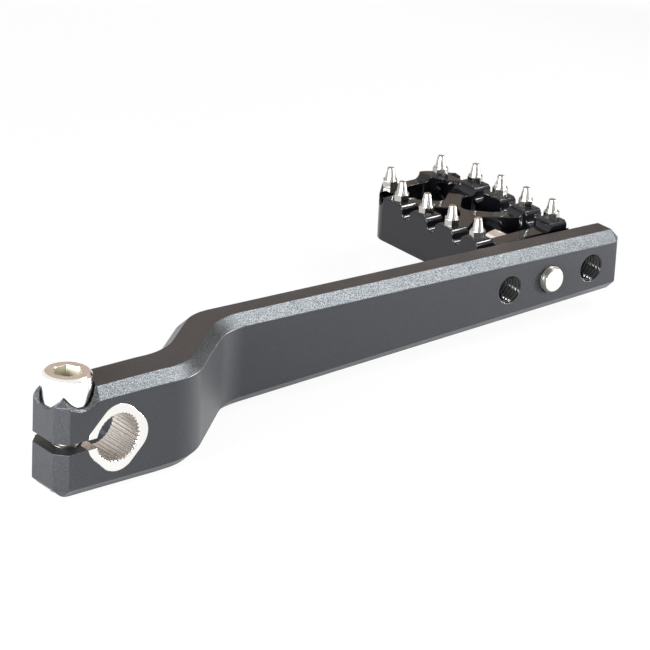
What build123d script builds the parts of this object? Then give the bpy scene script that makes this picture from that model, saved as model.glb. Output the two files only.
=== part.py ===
from build123d import *
import os
from math import radians, tan

# Motorcycle gear shift lever, in millimetres.
# Frame: the origin is the centre of the splined bore, halfway through the clamp.
# +X runs along the lever to the toe end, +Y to the side that the toe peg stands on, +Z is up.

os.makedirs("parts", exist_ok=True)

# Lever arm: a bar cut from plate, standing on its narrow edge
clamp_thick = 15.5
clamp_height = 29.0
tail_length = 18.0
bar_thick = 11.7
toe_height = 18.2
reach = 194.7
bar_offset = 21.5
edge_bevel = 3.0
taper_start = 14.0

# Plan of the two bends: where the sloping sides would meet those of the clamp
bend_angle = 40.0
front_bend_x = 24.5
back_bend_x = 22.6
bend_radius = 18.0

# Splined insert: a rounded square set on its corner, pressed in against a shoulder
insert_flats = 16.8
insert_corner = 6.0
insert_length = 12.0
shoulder_radius = 7.2
crest_radius = 6.35
spline_depth = 0.45
spline_count = 36
missing_grooves = 5
bore_bevel = 0.4

# Pinch slot and pinch screw
slot_width = 2.8
screw_x = -10.8
screw_thread = 8.0
screw_length = 20.0
cap_diameter = 13.0
cap_height = 8.0
cap_bevel = 0.7
tip_bevel = 0.7
key_size = 6.0
key_depth = 4.0
seat_radius = 7.0
seat_height = 10.3
lip_height = 9.6
lip_cutter = 5.0

# Toe end holes and toe peg bolt
hole_pitch = 15.5
toe_overhang = 28.1
tap_drill = 6.8
hole_bevel = 0.7

# Toe peg frame
peg_width = 34.2
peg_length = 54.2
peg_bottom = -3.6
tread_height = 10.1
recess_depth = 2.1
wall_thick = 6.0
end_plate = 5.3
outer_wall = 3.8
boss_height = 1.4
boss_radius = 8.0
key_channel = 7.5
corner_bevel = 9.2
corner_round = 6.0
inner_bevel = 2.0

# Webs and pockets of the toe peg: places are measured from where the webs cross
web_shift = 0.5
web_gap = 7.7
side_pocket_reach = 11.6
side_pocket_round = 3.0
bolt_pocket_reach = 14.8
end_pocket_reach = 15.0
end_pocket_width = 16.8
end_pocket_side = 3.0
end_pocket_mouth = 9.2
pocket_round = 2.5

# Lugs on the tread, notches between them, and traction pins
lug_pitch = 11.4
first_pin = 3.8
last_pin_edge = 5.4
last_pin_inset = 4.4
notch_width = 3.2
notch_depth = 3.6
lug_bevel = 1.0
last_notch_lead = 4.2
last_notch_angle = 20.0
saddle_lead = 3.8
saddle_width = 11.8
tread_cove = 1.8
pin_thread = 3.0
pin_thread_length = 5.0
pin_hex = 4.1
pin_hex_height = 2.1
pin_flange = 4.1
pin_flange_height = 0.35
pin_cone = 3.4
pin_tip = 2.0
pin_height = 5.9

# Splines: shares of the pitch that a groove takes at its mouth and at its floor
groove_mouth_share = 0.6
groove_floor_share = 0.3

# Clearances: thread_gap lies round each thread, hole_gap round each plain shank
thread_gap = 0.05
hole_gap = 0.3
groove_gap = 0.15

# Two places this near to each other count as one when edges are chosen
touching = 0.01

# Values that follow from those above
clamp_front = -clamp_thick / 2
clamp_back = clamp_thick / 2
bar_front = clamp_front + bar_offset
bar_back = bar_front + bar_thick
clamp_top = clamp_height / 2
insert_back = clamp_front + insert_length
bar_middle = (bar_front + bar_back) / 2
bend_slope = tan(radians(bend_angle))
front_exit_x = front_bend_x + (bar_front - clamp_front) / bend_slope
back_exit_x = back_bend_x + (bar_back - clamp_back) / bend_slope
peg_hole_x = reach - toe_overhang
hole_places = [peg_hole_x - hole_pitch, peg_hole_x + hole_pitch]
root_radius = crest_radius + spline_depth
thread_radius = screw_thread / 2
insert_half = insert_flats / 2
peg_start = bar_back + boss_height
peg_end = peg_start + peg_length
half_width = peg_width / 2
inner_half = half_width - wall_thick
row_offset = half_width - wall_thick / 2
web_height = tread_height - recess_depth
saddle_half = saddle_width / 2
shoulder = inner_half - saddle_half
last_pin = peg_length - last_pin_edge
last_notch = last_pin - last_notch_lead
saddle_start = last_notch - saddle_lead
outer_wall_start = peg_length - outer_wall
web_centre = peg_length / 2 + web_shift


with BuildPart() as lever_arm:
    with BuildSketch(Plane.XY.offset(-clamp_top)) as plan:
        with BuildLine():
            Polyline(
                (-tail_length, clamp_front),
                (front_bend_x, clamp_front),
                (front_exit_x, bar_front),
                (reach, bar_front),
                (reach, bar_back),
                (back_exit_x, bar_back),
                (back_bend_x, clamp_back),
                (-tail_length, clamp_back),
                close=True,
            )
        make_face()
        bends = plan.vertices().filter_by(lambda v: 0 < v.X < reach - touching)
        fillet(bends, radius=bend_radius)
    extrude(amount=clamp_height)

    # Side view: level over the clamp, then evenly lower to the toe end
    with BuildSketch(Plane.XZ):
        with BuildLine():
            Polyline(
                (-tail_length, -clamp_top),
                (taper_start, -clamp_top),
                (reach, -toe_height / 2),
                (reach, toe_height / 2),
                (taper_start, clamp_top),
                (-tail_length, clamp_top),
                close=True,
            )
        make_face()
    extrude(amount=2 * clamp_height, both=True, mode=Mode.INTERSECT)

    # One bevel runs round every outer edge
    def is_outer_edge(edge):
        middle_x = edge.center().X
        across_crease = abs(middle_x - taper_start) < touching
        upright = (edge @ 0).Z * (edge @ 1).Z < 0
        at_ends = middle_x < touching - tail_length or middle_x > reach - touching
        return at_ends or not (across_crease or upright)

    chamfer(lever_arm.edges().filter_by(is_outer_edge), length=edge_bevel)

    # Socket for the insert, and the round hole through its shoulder
    with BuildSketch(Plane.XZ.offset(-clamp_front)):
        RectangleRounded(insert_flats, insert_flats, insert_corner, rotation=45)
    extrude(amount=-insert_length, mode=Mode.SUBTRACT)
    with BuildSketch(Plane.XZ):
        Circle(shoulder_radius)
    extrude(amount=clamp_thick, both=True, mode=Mode.SUBTRACT)

    # Pinch slot from the end face into the socket
    with Locations((-tail_length / 2, 0, 0)):
        Box(tail_length, 2 * clamp_thick, slot_width, mode=Mode.SUBTRACT)

    # Screw seat, clearance hole in the upper jaw and thread in the lower jaw
    with BuildSketch(Plane.XY.offset(seat_height)):
        with Locations((screw_x, 0)):
            Circle(seat_radius)
    extrude(amount=clamp_top, mode=Mode.SUBTRACT)
    with BuildSketch(Plane.XY):
        with Locations((screw_x, 0)):
            Circle(thread_radius + hole_gap)
    extrude(amount=clamp_top, mode=Mode.SUBTRACT)
    with BuildSketch(Plane.XY):
        with Locations((screw_x, 0)):
            Circle(thread_radius + thread_gap)
    extrude(amount=-clamp_height, mode=Mode.SUBTRACT)

    # Scallops that let the seat out through the front, back and end bevels
    scallop_height = clamp_top - lip_height + lip_cutter + edge_bevel
    with Locations(
        (screw_x, clamp_front - lip_cutter, lip_height - lip_cutter),
        (screw_x, clamp_back + lip_cutter, lip_height - lip_cutter),
        (-tail_length - lip_cutter, 0, lip_height - lip_cutter),
    ):
        Cone(
            bottom_radius=0,
            top_radius=scallop_height,
            height=scallop_height,
            align=(Align.CENTER, Align.CENTER, Align.MIN),
            mode=Mode.SUBTRACT,
        )

    # Two tapped holes for other peg places, and the one that the peg bolt fills
    with BuildSketch(Plane.XZ.offset(-bar_middle)):
        with Locations(*[(x, 0) for x in hole_places]):
            Circle(tap_drill / 2)
        with Locations((peg_hole_x, 0)):
            Circle(thread_radius + thread_gap)
    extrude(amount=bar_thick, both=True, mode=Mode.SUBTRACT)
    mouth_radius = tap_drill / 2 + hole_bevel
    for face_y, direction in ((bar_front, -1), (bar_back, 1)):
        mouth = Plane(origin=(0, face_y, 0), x_dir=(1, 0, 0), z_dir=(0, direction, 0))
        with BuildSketch(mouth):
            with Locations(*[(x, 0) for x in hole_places]):
                Circle(mouth_radius)
        extrude(amount=-hole_bevel, taper=45, mode=Mode.SUBTRACT)
lever_arm.part.label = "lever_arm"
export_step(lever_arm.part, "parts/lever_arm.step")


with BuildPart() as splined_insert:
    with BuildSketch(Plane.XZ.offset(-insert_back)):
        RectangleRounded(insert_flats, insert_flats, insert_corner, rotation=45)
        Circle(crest_radius, mode=Mode.SUBTRACT)
    extrude(amount=insert_length)
    bore_edges = splined_insert.edges().filter_by(GeomType.CIRCLE)
    mouths = bore_edges.filter_by(lambda e: abs(e.radius - crest_radius) < touching)
    chamfer(mouths, length=bore_bevel)

    # Spline grooves round the bore, left out where the pinch screw passes
    pitch_angle = 360 / spline_count
    groove_mouth = crest_radius * radians(pitch_angle) * groove_mouth_share
    groove_floor = root_radius * radians(pitch_angle) * groove_floor_share
    groove_angles = [k * pitch_angle for k in range(spline_count)]
    plain_angle = missing_grooves / 2 * pitch_angle
    with BuildSketch(Plane.XZ):
        for angle in groove_angles:
            if abs(angle - 180) > plain_angle:
                with BuildLine(Plane.XY.rotated((0, 0, angle))):
                    Polyline(
                        (crest_radius - bore_bevel, -groove_mouth / 2),
                        (crest_radius, -groove_mouth / 2),
                        (root_radius, -groove_floor / 2),
                        (root_radius, groove_floor / 2),
                        (crest_radius, groove_mouth / 2),
                        (crest_radius - bore_bevel, groove_mouth / 2),
                        close=True,
                    )
                make_face()
    extrude(amount=clamp_thick, both=True, mode=Mode.SUBTRACT)

    # The slot splits it, and the pinch screw cuts a groove across its corner
    with Locations((-insert_half, 0, 0)):
        Box(2 * insert_half, 2 * clamp_thick, slot_width, mode=Mode.SUBTRACT)
    with Locations((screw_x, 0, 0)):
        Cylinder(thread_radius + groove_gap, clamp_height, mode=Mode.SUBTRACT)
splined_insert.part.label = "splined_insert"
export_step(splined_insert.part, "parts/splined_insert.step")


# Socket head cap screws: each plane lies under the head and points out of the socket
pinch_seat = Plane(origin=(screw_x, 0, seat_height), x_dir=(1, 0, 0), z_dir=(0, 0, 1))
bolt_seat = Plane(
    origin=(peg_hole_x, peg_start + end_plate, 0), x_dir=(1, 0, 0), z_dir=(0, 1, 0)
)
for name, seat in (("pinch_bolt", pinch_seat), ("peg_bolt", bolt_seat)):
    with BuildPart() as cap_screw:
        with BuildSketch(seat):
            Circle(cap_diameter / 2)
        extrude(amount=cap_height)
        with BuildSketch(seat):
            Circle(thread_radius)
        extrude(amount=-screw_length)
        rings = cap_screw.edges().filter_by(GeomType.CIRCLE)
        rings = rings.sort_by(Axis(seat.origin, seat.z_dir))
        chamfer(rings[-1], length=cap_bevel)
        chamfer(rings[0], length=tip_bevel)
        with BuildSketch(seat.offset(cap_height)):
            RegularPolygon(radius=key_size / 2, side_count=6, major_radius=False)
        extrude(amount=-key_depth, mode=Mode.SUBTRACT)
    cap_screw.part.label = name
    export_step(cap_screw.part, f"parts/{name}.step")


# The toe peg is drawn in plan on its own plane: x across the peg from the bolt, y outward
peg_plan = Plane(origin=(peg_hole_x, peg_start, 0), x_dir=(1, 0, 0), z_dir=(0, 0, 1))
pin_places = []
for side in (-1, 1):
    for row in range(4):
        pin_places.append((side * row_offset, first_pin + row * lug_pitch))
    pin_places.append((side * (row_offset - last_pin_inset), last_pin))

with BuildPart() as toe_peg_frame:
    with BuildSketch(peg_plan.offset(peg_bottom)) as outline:
        with BuildLine():
            Polyline(
                (-half_width, 0),
                (half_width, 0),
                (half_width, peg_length - corner_bevel),
                (half_width - corner_bevel, peg_length),
                (corner_bevel - half_width, peg_length),
                (-half_width, peg_length - corner_bevel),
                close=True,
            )
        make_face()
        corners = outline.vertices()
        fillet(corners.filter_by(lambda v: v.Y > peg_length / 2), radius=corner_round)
        chamfer(corners.filter_by(lambda v: v.Y < peg_length / 2), length=inner_bevel)
    extrude(amount=tread_height - peg_bottom)

    # Tread recess: the webs and both end walls lie lower than the lugs
    with BuildSketch(peg_plan.offset(web_height)) as recess:
        with BuildLine():
            Polyline(
                (-inner_half, -lug_pitch),
                (inner_half, -lug_pitch),
                (inner_half, saddle_start),
                (saddle_half, saddle_start + shoulder),
                (saddle_half, peg_length + lug_pitch),
                (-saddle_half, peg_length + lug_pitch),
                (-saddle_half, saddle_start + shoulder),
                (-inner_half, saddle_start),
                close=True,
            )
        make_face()
    extrude(amount=tread_height, mode=Mode.SUBTRACT)
    floor_edges = toe_peg_frame.faces().filter_by(Plane.XY).sort_by(Axis.Z)[1].edges()
    inside_ends = lambda e: peg_start + touching < e.center().Y < peg_end - touching
    fillet(floor_edges.filter_by(inside_ends), radius=tread_cove)

    # Notches between the lugs, round at the bottom and bevelled at the top.
    # The last one lies where the wall turns inward, so it is set at an angle.
    notch_half = notch_width / 2
    mouth_half = notch_half + lug_bevel
    notch_bottom = tread_height - notch_depth
    notch_centre = notch_bottom + notch_half
    notch_places = [(first_pin + (row + 0.5) * lug_pitch, 0) for row in range(3)]
    notch_places.append((last_notch, last_notch_angle))
    for side in (-1, 1):
        for outward, angle in notch_places:
            across_wall = Plane(
                origin=(peg_hole_x + side * half_width, peg_start + outward, 0),
                x_dir=(0, -side, 0),
                z_dir=(-side, 0, 0),
            )
            with BuildSketch(across_wall.rotated((0, -angle, 0))):
                with BuildLine():
                    Polyline(
                        (-notch_half, notch_centre),
                        (-notch_half, tread_height - lug_bevel),
                        (-mouth_half, tread_height),
                        (-mouth_half, tread_height + lug_bevel),
                        (mouth_half, tread_height + lug_bevel),
                        (mouth_half, tread_height),
                        (notch_half, tread_height - lug_bevel),
                        (notch_half, notch_centre),
                    )
                    ThreePointArc(
                        (notch_half, notch_centre),
                        (0, notch_bottom),
                        (-notch_half, notch_centre),
                    )
                make_face()
            extrude(amount=wall_thick + lug_bevel, both=True, mode=Mode.SUBTRACT)

    # The nearest lugs are bevelled where they face the lever
    def faces_lever(edge):
        middle = edge.center()
        return middle.Y < peg_start + touching and middle.Z > tread_height - touching

    chamfer(toe_peg_frame.edges().filter_by(faces_lever), length=lug_bevel)

    # Four pockets leave crossed webs between the walls
    pocket_depth = tread_height - peg_bottom
    side_pocket = [
        (0, web_centre),
        (inner_half, web_centre + side_pocket_reach),
        (inner_half, web_centre - side_pocket_reach),
    ]
    mirrored_pocket = [(-x, y) for x, y in side_pocket]
    end_half = end_pocket_width / 2
    end_side = web_centre + end_pocket_reach
    end_pocket = [
        (0, web_centre + web_gap),
        (end_half, end_side),
        (end_half, end_side + end_pocket_side),
        (end_pocket_mouth / 2, outer_wall_start),
        (-end_pocket_mouth / 2, outer_wall_start),
        (-end_half, end_side + end_pocket_side),
        (-end_half, end_side),
    ]
    bolt_pocket = [
        (0, web_centre - web_gap),
        (inner_half, web_centre - bolt_pocket_reach),
        (inner_half, end_plate),
        (-inner_half, end_plate),
        (-inner_half, web_centre - bolt_pocket_reach),
    ]
    for corners, rounding in (
        (side_pocket, side_pocket_round),
        (mirrored_pocket, side_pocket_round),
        (end_pocket, pocket_round),
        (bolt_pocket, pocket_round),
    ):
        with BuildSketch(peg_plan.offset(tread_height)) as pocket:
            with BuildLine():
                Polyline(*corners, close=True)
            make_face()
            fillet(pocket.vertices(), radius=rounding)
        extrude(amount=-pocket_depth, mode=Mode.SUBTRACT)

    # Round lobe that carries the bolt below the walls, and the raised seat against the lever
    bolt_axis = Plane(origin=(peg_hole_x, peg_start, 0), x_dir=(1, 0, 0), z_dir=(0, -1, 0))
    with BuildSketch(bolt_axis):
        with BuildLine():
            Line((boss_radius, 0), (-boss_radius, 0))
            ThreePointArc((-boss_radius, 0), (0, -boss_radius), (boss_radius, 0))
        make_face()
    extrude(amount=-end_plate)
    with BuildSketch(bolt_axis):
        Circle(boss_radius)
    extrude(amount=boss_height)
    with BuildSketch(bolt_axis):
        Circle(thread_radius + hole_gap)
    extrude(amount=2 * end_plate, both=True, mode=Mode.SUBTRACT)

    # Channel under the webs for the key that turns the bolt
    with BuildSketch(bolt_axis.offset(-end_plate - cap_height)):
        with Locations((0, peg_bottom)):
            Rectangle(key_channel, -2 * peg_bottom)
        Circle(key_channel / 2)
    extrude(amount=-peg_length, mode=Mode.SUBTRACT)

    # Tapped holes for the traction pins
    with BuildSketch(peg_plan.offset(tread_height)):
        with Locations(*pin_places):
            Circle(pin_thread / 2 + thread_gap)
    extrude(amount=-pin_thread_length - hole_gap, mode=Mode.SUBTRACT)
toe_peg_frame.part.label = "toe_peg_frame"
export_step(toe_peg_frame.part, "parts/toe_peg_frame.step")


# Traction pins: threaded stud, hexagon, thin flange and flat-topped cone
for number, (across, outward) in enumerate(pin_places, start=1):
    seat = Plane(
        origin=(peg_hole_x + across, peg_start + outward, tread_height),
        x_dir=(1, 0, 0),
        z_dir=(0, 0, 1),
    )
    with BuildPart() as traction_pin:
        with BuildSketch(seat):
            RegularPolygon(radius=pin_hex / 2, side_count=6, major_radius=False)
        extrude(amount=pin_hex_height)
        with BuildSketch(seat.offset(pin_hex_height)):
            Circle(pin_flange / 2)
        extrude(amount=pin_flange_height)
        cone_height = pin_height - pin_hex_height - pin_flange_height
        with Locations(seat.offset(pin_hex_height + pin_flange_height)):
            Cone(
                bottom_radius=pin_cone / 2,
                top_radius=pin_tip / 2,
                height=cone_height,
                align=(Align.CENTER, Align.CENTER, Align.MIN),
            )
        with BuildSketch(seat):
            Circle(pin_thread / 2)
        extrude(amount=-pin_thread_length)
    name = f"traction_pin_{number:02d}"
    traction_pin.part.label = name
    export_step(traction_pin.part, f"parts/{name}.step")
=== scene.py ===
from math import cos, pi, radians, sin

import bmesh
import bpy
from mathutils import Matrix, Vector


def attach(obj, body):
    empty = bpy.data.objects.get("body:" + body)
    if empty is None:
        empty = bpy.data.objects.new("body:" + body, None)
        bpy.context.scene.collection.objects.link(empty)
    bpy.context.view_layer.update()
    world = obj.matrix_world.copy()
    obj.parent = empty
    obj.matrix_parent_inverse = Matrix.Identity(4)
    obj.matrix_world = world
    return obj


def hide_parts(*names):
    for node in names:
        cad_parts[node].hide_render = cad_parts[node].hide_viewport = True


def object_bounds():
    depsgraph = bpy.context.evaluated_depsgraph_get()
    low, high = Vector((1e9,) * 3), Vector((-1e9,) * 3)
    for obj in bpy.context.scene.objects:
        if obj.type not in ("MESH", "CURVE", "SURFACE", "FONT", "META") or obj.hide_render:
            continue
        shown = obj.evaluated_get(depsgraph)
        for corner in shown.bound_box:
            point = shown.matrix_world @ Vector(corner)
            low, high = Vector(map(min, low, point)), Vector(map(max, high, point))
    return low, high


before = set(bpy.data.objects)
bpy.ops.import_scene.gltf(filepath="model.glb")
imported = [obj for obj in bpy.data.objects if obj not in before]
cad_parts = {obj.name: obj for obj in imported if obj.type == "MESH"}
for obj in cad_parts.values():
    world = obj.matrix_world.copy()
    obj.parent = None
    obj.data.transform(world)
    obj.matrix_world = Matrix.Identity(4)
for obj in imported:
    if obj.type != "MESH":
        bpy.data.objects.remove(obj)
cad_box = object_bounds()
mm = 0.001


# Studio: a white sweep under soft boxes, cards for the metal to mirror, and the camera.
# The lever lies level with its clamp to the left, seen from far away with a long lens.

def linear(hex_colour):
    """The linear colour of an sRGB hex value."""
    parts = [int(hex_colour[i:i + 2], 16) / 255 for i in (1, 3, 5)]
    return [c / 12.92 if c <= 0.04045 else ((c + 0.055) / 1.055) ** 2.4 for c in parts] + [1.0]


def add_node(tree, kind, settings=None, links=None):
    """Adds a node, sets its properties and socket values, and links its inputs."""
    node = tree.nodes.new(kind)
    for key, value in (settings or {}).items():
        if isinstance(key, str) and hasattr(node, key):
            setattr(node, key, value)
        else:
            node.inputs[key].default_value = value
    for key, source in (links or {}).items():
        tree.links.new(source, node.inputs[key])
    return node


def arithmetic(tree):
    """A function that adds one step of arithmetic on numbers or sockets to the tree."""
    def calc(operation, first, second=None):
        terms = {place: term for place, term in enumerate((first, second)) if term is not None}
        numbers = {place: term for place, term in terms.items() if isinstance(term, (int, float))}
        sockets = {place: term for place, term in terms.items() if place not in numbers}
        step = add_node(tree, "ShaderNodeMath", {"operation": operation, **numbers}, sockets)
        return step.outputs[0]
    return calc


def empty_material(name):
    """A new material with an empty node tree."""
    material = bpy.data.materials.new(name)
    material.use_nodes = True
    material.node_tree.nodes.clear()
    return material, material.node_tree


# The camera's place and turn, and its lens in pixels, are solved from the lever's own corners
eye = Vector((-493.65, -690.04, 389.08)) * mm
azimuth, elevation, tilt = radians(-39.374), radians(22.905), radians(2.820)
picture_width_px, focal_length_px, sensor_mm = 650, 3628.9, 36.0

camera_data = bpy.data.cameras.new("camera")
camera_data.sensor_width = sensor_mm
camera_data.lens = focal_length_px / picture_width_px * sensor_mm
camera_data.clip_start, camera_data.clip_end = 0.05, 20.0
camera = bpy.data.objects.new("camera", camera_data)
level_right = Vector((cos(azimuth), sin(azimuth), 0))
towards_eye = Vector((sin(azimuth) * cos(elevation), -cos(azimuth) * cos(elevation), sin(elevation)))
level_up = towards_eye.cross(level_right)
right = cos(tilt) * level_right + sin(tilt) * level_up
up = cos(tilt) * level_up - sin(tilt) * level_right
camera_turn = Matrix((right, up, towards_eye)).transposed().to_4x4()
camera.matrix_world = Matrix.Translation(eye) @ camera_turn
bpy.context.scene.collection.objects.link(camera)
bpy.context.scene.camera = camera
bpy.context.scene.view_settings.view_transform = "Standard"


def stage_board(name, middle, facing, width, height, material):
    """A flat board of the studio, at a place in millimetres, turned towards a point."""
    corners = [Vector((x * width / 2, y * height / 2, 0)) * mm
               for x, y in ((-1, -1), (1, -1), (1, 1), (-1, 1))]
    mesh = bpy.data.meshes.new(name)
    turn = (Vector(facing) - Vector(middle)).to_track_quat("Z", "Y").to_matrix()
    mesh.from_pydata([turn @ corner + Vector(middle) * mm for corner in corners], [], [(0, 1, 2, 3)])
    mesh.materials.append(material)
    board = bpy.data.objects.new(name, mesh)
    bpy.context.scene.collection.objects.link(board)
    return board


# Matt white card: the eye sees it as plain white with a trace of the lever's shadow, and polished
# metal sees more of its shading, so that the lever seems to rest on it.
floor_side, floor_gap = 3000, 0.05
eye_share, metal_share = 0.93, 0.35
white_card, tree = empty_material("matt_white_card")
calc = arithmetic(tree)
path = add_node(tree, "ShaderNodeLightPath").outputs
paper = add_node(tree, "ShaderNodeBsdfDiffuse", {"Color": linear("#DEDEDE")})
glow = add_node(tree, "ShaderNodeEmission", {"Color": linear("#FFFFFF"), "Strength": 1.0})
by_eye = calc("MULTIPLY", path["Is Camera Ray"], eye_share)
by_metal = calc("MAXIMUM", path["Is Glossy Ray"], path["Is Transmission Ray"])
by_metal = calc("MULTIPLY", by_metal, metal_share)
mixed = add_node(tree, "ShaderNodeMixShader", None, {
    0: calc("MAXIMUM", by_eye, by_metal), 1: paper.outputs[0], 2: glow.outputs[0]})
add_node(tree, "ShaderNodeOutputMaterial", None, {"Surface": mixed.outputs[0]})

floor_z = cad_box[0][2] / mm - floor_gap
stage_board("floor", (0, 0, floor_z), (0, 0, floor_side), floor_side, floor_side, white_card)


def plain_card(name, colour):
    """Matt card of one colour, for the metal to mirror."""
    card, tree = empty_material(name)
    paper = add_node(tree, "ShaderNodeBsdfDiffuse", {"Color": linear(colour)})
    add_node(tree, "ShaderNodeOutputMaterial", None, {"Surface": paper.outputs[0]})
    return card


# Cards out of the picture: name, place, the point that it faces, width and height, and its card
bench_middle, peg_middle, clamp_middle = (90, 10, 0), (165, 55, 10), (20, -5, 10)
brown, black = plain_card("brown_paper", "#BCACA0"), plain_card("black_card", "#101010")
grey = plain_card("grey_card", "#808083")
for name, middle, facing, width, height, card in (
    # The dark top of the lever and the warm top of the pinch bolt mirror brown paper
    ("brown_screen", (680, 460, 330), bench_middle, 1500, 700, brown),
    # Black cards give the traction pins and the bright screws their dark stripes
    ("black_flag", (-30, -540, 60), peg_middle, 150, 230, black),
    ("black_side_card", (420, 115, 60), clamp_middle, 190, 150, black),
    # The right halves of the pins mirror a grey one
    ("grey_screen", (520, -606, 290), peg_middle, 700, 420, grey),
):
    stage_board(name, middle, facing, width, height, card).visible_camera = False

# White room: the eye and the metal see it at full white, and its own light on the lever is soft
world = bpy.data.worlds.new("white_studio")
world.use_nodes = True
bpy.context.scene.world = world
tree = world.node_tree
tree.nodes.clear()
calc = arithmetic(tree)
path = add_node(tree, "ShaderNodeLightPath").outputs
seen = calc("MAXIMUM", path["Is Camera Ray"], path["Is Transmission Ray"])
seen = calc("MAXIMUM", seen, path["Is Glossy Ray"])
dim = add_node(tree, "ShaderNodeBackground", {"Color": linear("#F4F4F8"), "Strength": 0.45})
white = add_node(tree, "ShaderNodeBackground", {"Color": linear("#FFFFFF"), "Strength": 1.0})
mixed = add_node(tree, "ShaderNodeMixShader", None, {0: seen, 1: dim.outputs[0], 2: white.outputs[0]})
add_node(tree, "ShaderNodeOutputWorld", None, {"Surface": mixed.outputs[0]})

# Soft boxes: name, place, width and height in millimetres, and power in watts
for name, place, width, height, power in (
    ("soft_box_high", (656, -190, 736), 80, 220, 3.8),
    ("soft_box_low", (647, -504, 572), 80, 220, 3.8),
    ("soft_box_left", (-350, -10, 120), 300, 140, 4.4),
    ("soft_box_corner", (-380, -270, 60), 200, 120, 2.2),
    ("soft_box_side", (526, -166, 22), 60, 60, 5.0),
):
    light = bpy.data.lights.new(name, "AREA")
    light.shape = "RECTANGLE"
    light.size, light.size_y = width * mm, height * mm
    light.energy = power
    lamp = bpy.data.objects.new(name, light)
    lamp.location = Vector(place) * mm
    lamp.rotation_euler = (Vector(bench_middle) - Vector(place)).to_track_quat("-Z", "Y").to_euler()
    bpy.context.scene.collection.objects.link(lamp)


# Lever arm: one bar of aluminium alloy, milled from plate and bent to step over the engine case.
# It is anodised black; the flat faces keep fine cutter lines, the bevels are grainy and brighter.
# Two tapped holes stay free, one on each side of the toe peg's bolt.

arm_edge_round = 0.15
free_hole_places, thread_root = (151.1, 182.1), 4.1
clamp_foot_z, clamp_end_x, foot_round = -14.4, -11.9, 1.4
pinch_bolt_x, bolt_hole_reach = -10.8, 4.3

# Faces that meet at less than the first angle are one curve, edges past the second are rounded,
# and those between stay crisp. A solid's triangles are welded, and those of a flat face joined.
curve_limit, corner_limit = radians(12), radians(22)
welded_within, flat_within = 0.002 * mm, radians(0.6)


def finished_copy(node, name, edge_round, change=None):
    """A copy of a solid with its edges broken by a small round, as deburring leaves them."""
    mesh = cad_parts[node].data.copy()
    mesh.materials.clear()
    solid = bmesh.new()
    solid.from_mesh(mesh)
    bmesh.ops.remove_doubles(solid, verts=solid.verts, dist=welded_within)
    bmesh.ops.dissolve_limit(solid, angle_limit=flat_within, verts=solid.verts, edges=solid.edges)
    for edge in solid.edges:
        edge.smooth = not curve_limit < edge.calc_face_angle(0) < corner_limit
    if change:
        change(solid)
    for face in solid.faces:
        face.smooth = True
    solid.to_mesh(mesh)
    solid.free()
    piece = bpy.data.objects.new(name, mesh)
    bpy.context.scene.collection.objects.link(piece)
    break_edges(piece, edge_round)
    return piece


def break_edges(piece, edge_round):
    """Rounds the sharp edges of a piece by so many millimetres and keeps its flat faces flat."""
    bevel = piece.modifiers.new("deburring", "BEVEL")
    bevel.width = edge_round * mm
    bevel.segments = 2
    bevel.limit_method = "ANGLE"
    bevel.angle_limit = corner_limit
    bevel.use_clamp_overlap = False
    bevel.loop_slide = False
    weights = piece.modifiers.new("flat_faces", "WEIGHTED_NORMAL")
    weights.keep_sharp = True
    weights.weight = 100
    apply_modifiers(piece)


def apply_modifiers(piece):
    """Turns what the modifiers make into the piece's own plain mesh."""
    evaluated = piece.evaluated_get(bpy.context.evaluated_depsgraph_get())
    made = bpy.data.meshes.new_from_object(evaluated)
    piece.modifiers.clear()
    piece.data = made


def put_on(piece, nodes, material_slot, *materials):
    """The piece stands for its solids, rides with them and takes their finish."""
    piece.data.materials.clear()
    for material in materials:
        piece.data.materials.append(material)
    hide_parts(*nodes)
    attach(piece, "root")


def surface_place(tree):
    """The place on the piece, in millimetres."""
    here = add_node(tree, "ShaderNodeTexCoord")
    return add_node(tree, "ShaderNodeVectorMath", {"operation": "SCALE", "Scale": 1 / mm},
                    {0: here.outputs["Object"]}).outputs[0]


def bands_apart(pitch):
    """The scale of a wave texture whose bands stand so many millimetres apart."""
    return 2 * pi / (20 * pitch)


# Black anodised aluminium, milled: dark satin, with cutter lines on the sides that catch the light.
# The other faces are ground, and show only a cloudy grain.
line_pitch, line_slope = 0.7, radians(-37)
milled, tree = empty_material("black_anodised_milled")
place = surface_place(tree)
lean = add_node(tree, "ShaderNodeMapping", {"Rotation": (0, line_slope, 0)}, {"Vector": place})
lines = add_node(tree, "ShaderNodeTexWave", {
    "wave_type": "BANDS", "bands_direction": "X", "wave_profile": "SIN", "Scale": bands_apart(line_pitch),
    "Distortion": 1.2, "Detail": 2.0, "Detail Scale": 1.5}, {"Vector": lean.outputs[0]})
grain = add_node(tree, "ShaderNodeTexNoise", {"Scale": 1.8, "Detail": 4.0, "Roughness": 0.7},
                 {"Vector": place})
facing = add_node(tree, "ShaderNodeSeparateXYZ", None, {
    0: add_node(tree, "ShaderNodeTexCoord").outputs["Normal"]})
facing_side = arithmetic(tree)("ABSOLUTE", facing.outputs["Y"])
on_sides = add_node(tree, "ShaderNodeMapRange", {"From Min": 0.93, "From Max": 0.99, "To Max": 0.55},
                    {"Value": facing_side})
relief = add_node(tree, "ShaderNodeMix", {"data_type": "FLOAT"}, {
    "Factor": on_sides.outputs[0], "A": grain.outputs["Fac"], "B": lines.outputs["Fac"]}).outputs[0]
bump = add_node(tree, "ShaderNodeBump", {"Strength": 0.3, "Distance": 0.25 * mm}, {"Height": relief})
rough = add_node(tree, "ShaderNodeMapRange", {"To Min": 0.26, "To Max": 0.36}, {"Value": relief})
tint = add_node(tree, "ShaderNodeMix", {"data_type": "RGBA"}, {"Factor": relief})
tint.inputs["A"].default_value, tint.inputs["B"].default_value = linear("#131517"), linear("#434549")
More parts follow.
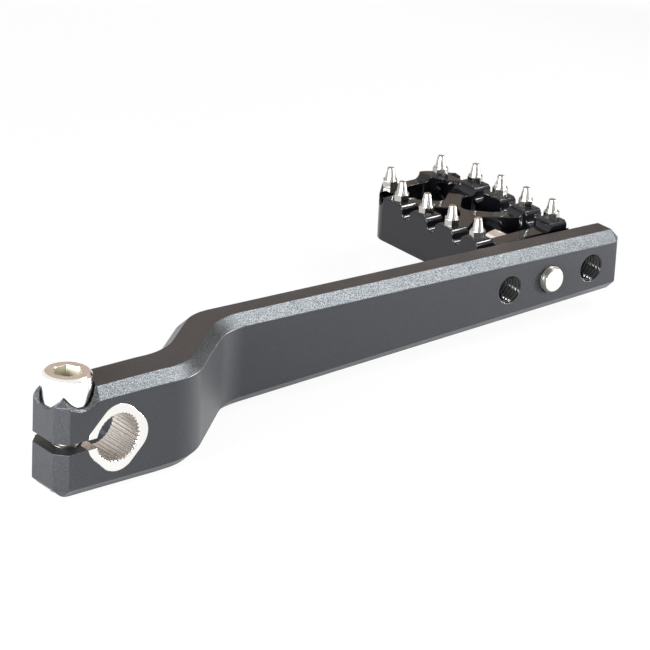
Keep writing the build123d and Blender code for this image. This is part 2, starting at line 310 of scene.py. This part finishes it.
shader = add_node(tree, "ShaderNodeBsdfPrincipled", {"Metallic": 0.5, "IOR": 1.5}, {
    "Base Color": tint.outputs["Result"], "Roughness": rough.outputs[0], "Normal": bump.outputs[0]})
add_node(tree, "ShaderNodeOutputMaterial", None, {"Surface": shader.outputs[0]})

# Black anodised aluminium, bevelled by a coarse cutter: a fine grain that glitters
grain_size = 0.32
bevelled, tree = empty_material("black_anodised_bevel")
grain = add_node(tree, "ShaderNodeTexNoise", {"Scale": 1 / grain_size, "Detail": 4.0, "Roughness": 0.7},
                 {"Vector": surface_place(tree)}).outputs["Fac"]
spread = add_node(tree, "ShaderNodeMapRange", {"From Min": 0.36, "From Max": 0.64}, {"Value": grain})
bump = add_node(tree, "ShaderNodeBump", {"Strength": 0.6, "Distance": 0.12 * mm}, {"Height": grain})
tint = add_node(tree, "ShaderNodeMix", {"data_type": "RGBA"}, {"Factor": spread.outputs[0]})
tint.inputs["A"].default_value, tint.inputs["B"].default_value = linear("#1D1F20"), linear("#74787B")
shader = add_node(tree, "ShaderNodeBsdfPrincipled", {"Metallic": 0.95, "Roughness": 0.34},
                  {"Base Color": tint.outputs["Result"], "Normal": bump.outputs[0]})
add_node(tree, "ShaderNodeOutputMaterial", None, {"Surface": shader.outputs[0]})


def worked_arm(solid):
    """Opens the free holes to the roots of their threads and rounds the foot of the clamp's end."""
    for vertex in solid.verts:
        for hole_x in free_hole_places:
            outward = Vector((vertex.co.x - hole_x * mm, 0, vertex.co.z))
            if outward.length < thread_root * mm:
                vertex.co += outward.normalized() * (thread_root * mm - outward.length)

    def at_foot(vertex):
        """Whether a corner is on the underside of the clamp's end, and not at the bolt's hole."""
        from_bolt = Vector((vertex.co.x - pinch_bolt_x * mm, vertex.co.y, 0))
        return (vertex.co.z < clamp_foot_z * mm and vertex.co.x < clamp_end_x * mm
                and from_bolt.length > bolt_hole_reach * mm)

    foot = [edge for edge in solid.edges if all(at_foot(vertex) for vertex in edge.verts)]
    bmesh.ops.bevel(solid, geom=foot, offset=foot_round * mm, segments=3, profile=0.5, affect="EDGES")


arm = finished_copy("lever_arm", "lever_arm_plate", arm_edge_round, worked_arm)
put_on(arm, ["lever_arm"], "arm", milled, bevelled)

# The bevels of the long edges stand at 45 degrees
steepest_bevel, flattest_bevel = cos(radians(49)), cos(radians(41))
for face in arm.data.polygons:
    if steepest_bevel < abs(face.normal.z) < flattest_bevel:
        face.material_index = 1


# Threads in the free holes: M8, cut by a tap and anodised black as the arm is.
# Each is a ring of metal with a helix on its inner side, let into the hole.

arm_front, arm_back, hole_inset = 13.75, 25.45, 0.15
tap_clearance = 0.03


def thread_tree():
    """Geometry nodes that wrap a grid into a ring with a helical ridge on one side."""
    tree = bpy.data.node_groups.new("helical_thread", "GeometryNodeTree")
    for name, kind, value in (
        ("Back radius", "NodeSocketFloat", 4.1 * mm), ("Outward", "NodeSocketFloat", -1.0),
        ("Root height", "NodeSocketFloat", 0.05 * mm), ("Thread height", "NodeSocketFloat", 0.7 * mm),
        ("Pitch", "NodeSocketFloat", 1.25 * mm), ("Length", "NodeSocketFloat", 11 * mm),
        ("Segments", "NodeSocketInt", 64), ("Rows", "NodeSocketInt", 60),
        ("Finish", "NodeSocketMaterial", None),
    ):
        socket = tree.interface.new_socket(name, in_out="INPUT", socket_type=kind)
        if value is not None:
            socket.default_value = value
    tree.interface.new_socket("Geometry", in_out="OUTPUT", socket_type="NodeSocketGeometry")
    given = add_node(tree, "NodeGroupInput").outputs
    calc = arithmetic(tree)

    # The grid runs from -0.5 to 0.5 both ways: round the ring, and along the rows of the helix.
    # The four rows after those make the plain back wall and close the ring.
    columns = calc("ADD", given["Segments"], 1)
    levels = calc("ADD", given["Rows"], 4)
    grid = add_node(tree, "GeometryNodeMeshGrid", {"Size X": 1, "Size Y": 1},
                    {"Vertices X": columns, "Vertices Y": levels})
    spot = add_node(tree, "ShaderNodeSeparateXYZ", None, {
        0: add_node(tree, "GeometryNodeInputPosition").outputs[0]})
    turn = calc("ADD", spot.outputs["X"], 0.5)
    last = calc("SUBTRACT", levels, 1)
    level = calc("ROUND", calc("MULTIPLY", calc("ADD", spot.outputs["Y"], 0.5), last))
    level = calc("MODULO", level, last)
    on_back = calc("GREATER_THAN", level, calc("ADD", given["Rows"], 0.5))
    back_to_start = calc("GREATER_THAN", level, calc("ADD", given["Rows"], 1.5))
    climb = calc("MULTIPLY", calc("MINIMUM", calc("DIVIDE", level, given["Rows"]), 1), given["Length"])
    height = calc("MULTIPLY", climb, calc("SUBTRACT", 1, back_to_start))

    # A ridge with flat crests and roots, which runs out at both ends of the ring
    phase = calc("FRACT", calc("ADD", calc("DIVIDE", height, given["Pitch"]), turn))
    ridge = calc("ABSOLUTE", calc("SUBTRACT", calc("MULTIPLY", phase, 2), 1))
    ridge = calc("SUBTRACT", calc("MULTIPLY", ridge, 1.3), 0.15)
    ridge = calc("MAXIMUM", calc("MINIMUM", ridge, 1), 0)
    stand = calc("ADD", given["Root height"], calc("MULTIPLY", ridge, given["Thread height"]))
    from_end = calc("MINIMUM", height, calc("SUBTRACT", given["Length"], height))
    stand = calc("MINIMUM", stand, calc("ADD", from_end, given["Root height"]))
    stand = calc("MULTIPLY", stand, calc("SUBTRACT", 1, on_back))
    radius = calc("ADD", given["Back radius"], calc("MULTIPLY", stand, given["Outward"]))
    angle = calc("MULTIPLY", turn, 2 * pi)
    wrapped = add_node(tree, "ShaderNodeCombineXYZ", None, {
        "X": calc("MULTIPLY", radius, calc("COSINE", angle)),
        "Y": calc("MULTIPLY", radius, calc("SINE", angle)), "Z": height})
    ring = add_node(tree, "GeometryNodeSetPosition", None, {
        "Geometry": grid.outputs["Mesh"], "Position": wrapped.outputs[0]})
    closed = add_node(tree, "GeometryNodeMergeByDistance", {"Distance": 0.001 * mm},
                      {"Geometry": ring.outputs[0]})
    end_tree(tree, closed.outputs[0], given["Finish"])
    return tree


def end_tree(tree, shape, finish):
    """Makes a tree's result real geometry, gives it its material and hands it out."""
    real = add_node(tree, "GeometryNodeRealizeInstances", None, {"Geometry": shape})
    finished = add_node(tree, "GeometryNodeSetMaterial", None, {
        "Geometry": real.outputs[0], "Material": finish})
    add_node(tree, "NodeGroupOutput", None, {"Geometry": finished.outputs[0]})


def grown(name, start_mesh, tree, sizes, edge_round=0):
    """A piece that a tree of geometry nodes makes, turned into a plain mesh with faces outward."""
    piece = bpy.data.objects.new(name, start_mesh)
    bpy.context.scene.collection.objects.link(piece)
    modifier = piece.modifiers.new(name, "NODES")
    modifier.node_group = tree
    for socket in tree.interface.items_tree:
        if socket.name in sizes and socket.in_out == "INPUT":
            modifier[socket.identifier] = sizes[socket.name]
    apply_modifiers(piece)
    solid = bmesh.new()
    solid.from_mesh(piece.data)
    bmesh.ops.recalc_face_normals(solid, faces=solid.faces)
    for face in solid.faces:
        face.smooth = True
        face.material_index = 0
    solid.to_mesh(piece.data)
    solid.free()
    piece.data.materials.clear()
    piece.data.materials.append(sizes["Finish"])
    if edge_round:
        break_edges(piece, edge_round)
    return piece


# Black anodised aluminium, tapped: smooth, and painted darker than the arm's black, a painted shade inside
# the holes
tapped, tree = empty_material("black_anodised_thread_painted_shade")
grain = add_node(tree, "ShaderNodeTexNoise", {"Scale": 1.2, "Detail": 3.0}, {"Vector": surface_place(tree)})
rough = add_node(tree, "ShaderNodeMapRange", {"To Min": 0.12, "To Max": 0.2},
                 {"Value": grain.outputs["Fac"]})
shader = add_node(tree, "ShaderNodeBsdfPrincipled", {"Base Color": linear("#070708"), "IOR": 1.55},
                  {"Roughness": rough.outputs[0]})
add_node(tree, "ShaderNodeOutputMaterial", None, {"Surface": shader.outputs[0]})

helix = thread_tree()
along_y = Matrix.Rotation(radians(-90), 4, "X")
for name, hole_x in zip(("near", "far"), free_hole_places):
    thread = grown(f"tapped_thread_{name}", bpy.data.meshes.new(name), helix, {
        "Back radius": (thread_root + tap_clearance) * mm, "Rows": 72, "Finish": tapped,
        "Length": (arm_back - arm_front - 2 * hole_inset) * mm})
    hole_mouth = Vector((hole_x, arm_front + hole_inset, 0))
    thread.data.transform(Matrix.Translation(hole_mouth * mm) @ along_y)
    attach(thread, "root")


# Splined insert: a hardened steel block pressed into the clamp, broached with fine splines for the
# gear shaft. It is left bright, faced in a lathe and slit with the clamp.

insert_edge_round, bore_reach, end_face_lean = 0.08, 7.1, 0.5


def bright_metal(name, colour, roughness, ring_pitch, ring_depth, ring_axis):
    """A bright metal with cutter rings and patches of handling wear, which soften its shine.

    Such rings are about 0.1 mm apart, and are drawn a few times as coarse so that they show.
    """
    metal, tree = empty_material(name)
    place = surface_place(tree)
    rings = add_node(tree, "ShaderNodeTexWave", {
        "wave_type": "BANDS", "bands_direction": ring_axis, "Scale": bands_apart(ring_pitch),
        "Distortion": 0.6, "Detail": 2.0}, {"Vector": place})
    wear = add_node(tree, "ShaderNodeTexNoise", {"Scale": 0.45, "Detail": 5.0, "Roughness": 0.6},
                    {"Vector": place})
    bump = add_node(tree, "ShaderNodeBump", {"Strength": ring_depth, "Distance": 0.05 * mm},
                    {"Height": rings.outputs["Fac"]})
    rough = add_node(tree, "ShaderNodeMapRange", {"To Min": roughness * 0.75, "To Max": roughness * 1.35},
                     {"Value": wear.outputs["Fac"]})
    shader = add_node(tree, "ShaderNodeBsdfPrincipled", {"Base Color": linear(colour), "Metallic": 1.0},
                      {"Roughness": rough.outputs[0], "Normal": bump.outputs[0]})
    add_node(tree, "ShaderNodeOutputMaterial", None, {"Surface": shader.outputs[0]})
    return metal


# Bright steel: faced smooth and almost white outside; broached inside and painted a little warm there, a
# painted warm reflection
faced = bright_metal("faced_bright_steel", "#DDDCD9", 0.2, 0.5, 0.08, "X")
broached = bright_metal("broached_steel_painted_warm", "#D8D2CC", 0.26, 0.3, 0.2, "Y")
insert = finished_copy("splined_insert", "splined_bush", insert_edge_round)
put_on(insert, ["splined_insert"], "insert", faced, broached)
for face in insert.data.polygons:
    from_axis = Vector((face.center.x, face.center.z)).length
    if from_axis < bore_reach * mm and abs(face.normal.y) < end_face_lean:
        face.material_index = 1


# Screws: two bright zinc plated M8 socket head cap screws. One stands in the seat and pinches the
# clamp, the other comes through the toe peg and ends a little proud of the arm.

screw_edge_round = 0.12
screw_outside, screw_core, sleeve_back = 4.01, 3.3, 3.25
key_corner_reach, socket_reach, socket_depth = 3.6, 3.7, 4.1
mouth_start, mouth_flare = 3, 0.45

# Where the floor of the key socket lies, by the axis that the screw stands along
socket_floors = {2: 14.0, 1: 36.0}


def worked_screw(middle, along):
    """Makes the change that turns a screw's shank down to its core and flares its socket."""
    def change(solid):
        for vertex in solid.verts:
            outward = vertex.co - Vector(middle) * mm
            outward[along] = 0
            above_floor = vertex.co[along] / mm - socket_floors[along]
            if above_floor < 0 and outward.length < screw_outside * mm:
                vertex.co -= outward.normalized() * max(0, outward.length - screw_core * mm)
            elif above_floor > mouth_start and outward.length < key_corner_reach * mm:
                vertex.co += outward.normalized() * mouth_flare * mm
    return change


# Bright zinc plate: a near mirror on the heads. The rolled threads are dull and painted dark, a painted
# shade for shanks that lie in shadow.
zinc = bright_metal("bright_zinc_plate", "#F0EFEC", 0.14, 0.4, 0.01, "Z")
rolled = bright_metal("rolled_zinc_painted_shade", "#6E6C68", 0.35, 0.4, 0.02, "Z")
# The punched sockets are dull, and painted darker and warmer, a painted shade in the key sockets
punched = bright_metal("punched_zinc_painted_shade", "#B4B0A0", 0.45, 0.4, 0.02, "Z")

# Each screw: its solid, the axis that it stands along, where that lies, its tip and its turn
for node, along, middle, tip, turn in (
    ("pinch_bolt", 2, (pinch_bolt_x, 0, 0), -9.6, Matrix.Identity(4)),
    ("peg_bolt", 1, (sum(free_hole_places) / 2, 0, 0), 12.25, along_y),
):
    screw = finished_copy(node, node + "_screw", screw_edge_round, worked_screw(middle, along))
    put_on(screw, [node], "screws", zinc, punched)
    for face in screw.data.polygons:
        from_axis = face.center - Vector(middle) * mm
        from_axis[along] = 0
        above_floor = face.center[along] / mm - socket_floors[along]
        if 0 < above_floor < socket_depth and from_axis.length < socket_reach * mm:
            face.material_index = 1
    sleeve = grown(node + "_thread", bpy.data.meshes.new(node), helix, {
        "Back radius": sleeve_back * mm, "Outward": 1.0, "Root height": 0.1 * mm,
        "Thread height": 0.65 * mm, "Length": 19.6 * mm, "Rows": 126, "Finish": rolled})
    foot = Vector(middle)
    foot[along] = tip
    sleeve.data.transform(Matrix.Translation(foot * mm) @ turn)
    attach(sleeve, "root")


# Toe peg: an open frame milled from aluminium, with crossed webs and a row of lugs on each side.
# It is polished before it is anodised, and hangs on the bolt that goes through the arm.

peg_edge_round = 0.35

# Black anodised aluminium, polished: glossy black with the faint clouds and swirls of a buffing wheel
gloss, tree = empty_material("black_anodised_gloss")
place = surface_place(tree)
cloud = add_node(tree, "ShaderNodeTexNoise", {"Scale": 0.25, "Detail": 4.0, "Roughness": 0.6},
                 {"Vector": place})
swirl = add_node(tree, "ShaderNodeTexNoise", {"Scale": 2.5, "Detail": 2.0}, {"Vector": place})
bump = add_node(tree, "ShaderNodeBump", {"Strength": 0.04, "Distance": 0.1 * mm},
                {"Height": swirl.outputs["Fac"]})
rough = add_node(tree, "ShaderNodeMapRange", {"To Min": 0.06, "To Max": 0.13},
                 {"Value": cloud.outputs["Fac"]})
shader = add_node(tree, "ShaderNodeBsdfPrincipled", {"Base Color": linear("#0D0D11"), "IOR": 1.42},
                  {"Roughness": rough.outputs[0], "Normal": bump.outputs[0]})
add_node(tree, "ShaderNodeOutputMaterial", None, {"Surface": shader.outputs[0]})
peg = finished_copy("toe_peg_frame", "toe_peg_body", peg_edge_round)
put_on(peg, ["toe_peg_frame"], "peg", gloss)


# Traction pins: ten small steel pins, each turned with a stud, a hexagon, a thin flange and a cone.
# They are screwed into the lugs until they are tight, so no two hexagons stand alike.

tread_height, pin_edge_round, pin_lap = 10.1, 0.07, 0.03

# Place of each pin and the angle at which a corner of its hexagon stands
pin_places = (
    (152.5, 30.65, 20.6), (152.5, 42.05, 48.6), (152.5, 53.45, 37.6), (152.5, 64.85, 45.4),
    (156.9, 75.65, 52.6),
    (180.7, 30.65, 26.6), (180.7, 42.05, 42.6), (180.7, 53.45, 10.6), (180.7, 64.85, 33.6),
    (176.3, 75.65, 24.6),
)


def pin_tree():
    """Geometry nodes that build one pin and stand a copy on every point."""
    tree = bpy.data.node_groups.new("traction_pin", "GeometryNodeTree")
    tree.interface.new_socket("Points", in_out="INPUT", socket_type="NodeSocketGeometry")
    for name, value in (
        ("Across flats", 4.1), ("Hexagon height", 2.1), ("Flange width", 4.1), ("Flange height", 0.35),
        ("Cone width", 3.4), ("Tip width", 2.0), ("Height", 5.9), ("Stud width", 3.0), ("Stud length", 5.0),
    ):
        socket = tree.interface.new_socket(name, in_out="INPUT", socket_type="NodeSocketFloat")
        socket.default_value = value * mm
    tree.interface.new_socket("Finish", in_out="INPUT", socket_type="NodeSocketMaterial")
    tree.interface.new_socket("Geometry", in_out="OUTPUT", socket_type="NodeSocketGeometry")
    given = add_node(tree, "NodeGroupInput").outputs
    calc = arithmetic(tree)

    def turned(sides, bottom_width, top_width, start, end):
        """A prism or a round cone between two heights, with so many sides."""
        cone = add_node(tree, "GeometryNodeMeshCone", {"Vertices": sides}, {
            "Radius Bottom": calc("MULTIPLY", bottom_width, 0.5),
            "Radius Top": calc("MULTIPLY", top_width, 0.5), "Depth": calc("SUBTRACT", end, start)})
        lift = add_node(tree, "ShaderNodeCombineXYZ", None, {"Z": start})
        return add_node(tree, "GeometryNodeTransform", None, {
            "Geometry": cone.outputs["Mesh"], "Translation": lift.outputs[0]}).outputs[0]

    # The parts of a pin lap a little, so that they join into one solid
    lap = pin_lap * mm
    seat, above_seat = calc("ADD", 0, 0), calc("ADD", 0, lap)
    stud_end = calc("MULTIPLY", given["Stud length"], -1)
    flange_foot = given["Hexagon height"]
    cone_foot = calc("ADD", flange_foot, given["Flange height"])
    cone_start = calc("SUBTRACT", cone_foot, lap)
    corners = calc("DIVIDE", given["Across flats"], cos(radians(30)))
    union = add_node(tree, "GeometryNodeMeshBoolean", {"operation": "UNION", "solver": "EXACT"})
    for part in (
        turned(24, given["Stud width"], given["Stud width"], stud_end, above_seat),
        turned(6, corners, corners, seat, calc("ADD", flange_foot, lap)),
        turned(40, given["Flange width"], given["Flange width"], flange_foot, cone_foot),
        turned(40, given["Cone width"], given["Tip width"], cone_start, given["Height"]),
    ):
        tree.links.new(part, union.inputs["Mesh 2"])
    turn = add_node(tree, "GeometryNodeInputNamedAttribute", {"data_type": "FLOAT", "Name": "turn"})
    facing = add_node(tree, "ShaderNodeCombineXYZ", None, {"Z": turn.outputs["Attribute"]})
    stood = add_node(tree, "GeometryNodeInstanceOnPoints", None, {
        "Points": given["Points"], "Instance": union.outputs["Mesh"], "Rotation": facing.outputs[0]})
    end_tree(tree, stood.outputs[0], given["Finish"])
    return tree


spots = bpy.data.meshes.new("pin_places")
spots.from_pydata([Vector((x, y, tread_height)) * mm for x, y, turn in pin_places], [], [])
turns = spots.attributes.new("turn", "FLOAT", "POINT")
turns.data.foreach_set("value", [radians(turn) for x, y, turn in pin_places])
turned_steel = bright_metal("turned_bright_steel", "#BAB8B4", 0.16, 0.35, 0.05, "Z")
pins = grown("traction_pins", spots, pin_tree(), {"Finish": turned_steel}, pin_edge_round)
pin_nodes = [f"traction_pin_{number:02d}" for number in range(1, len(pin_places) + 1)]
put_on(pins, pin_nodes, "pins", turned_steel)
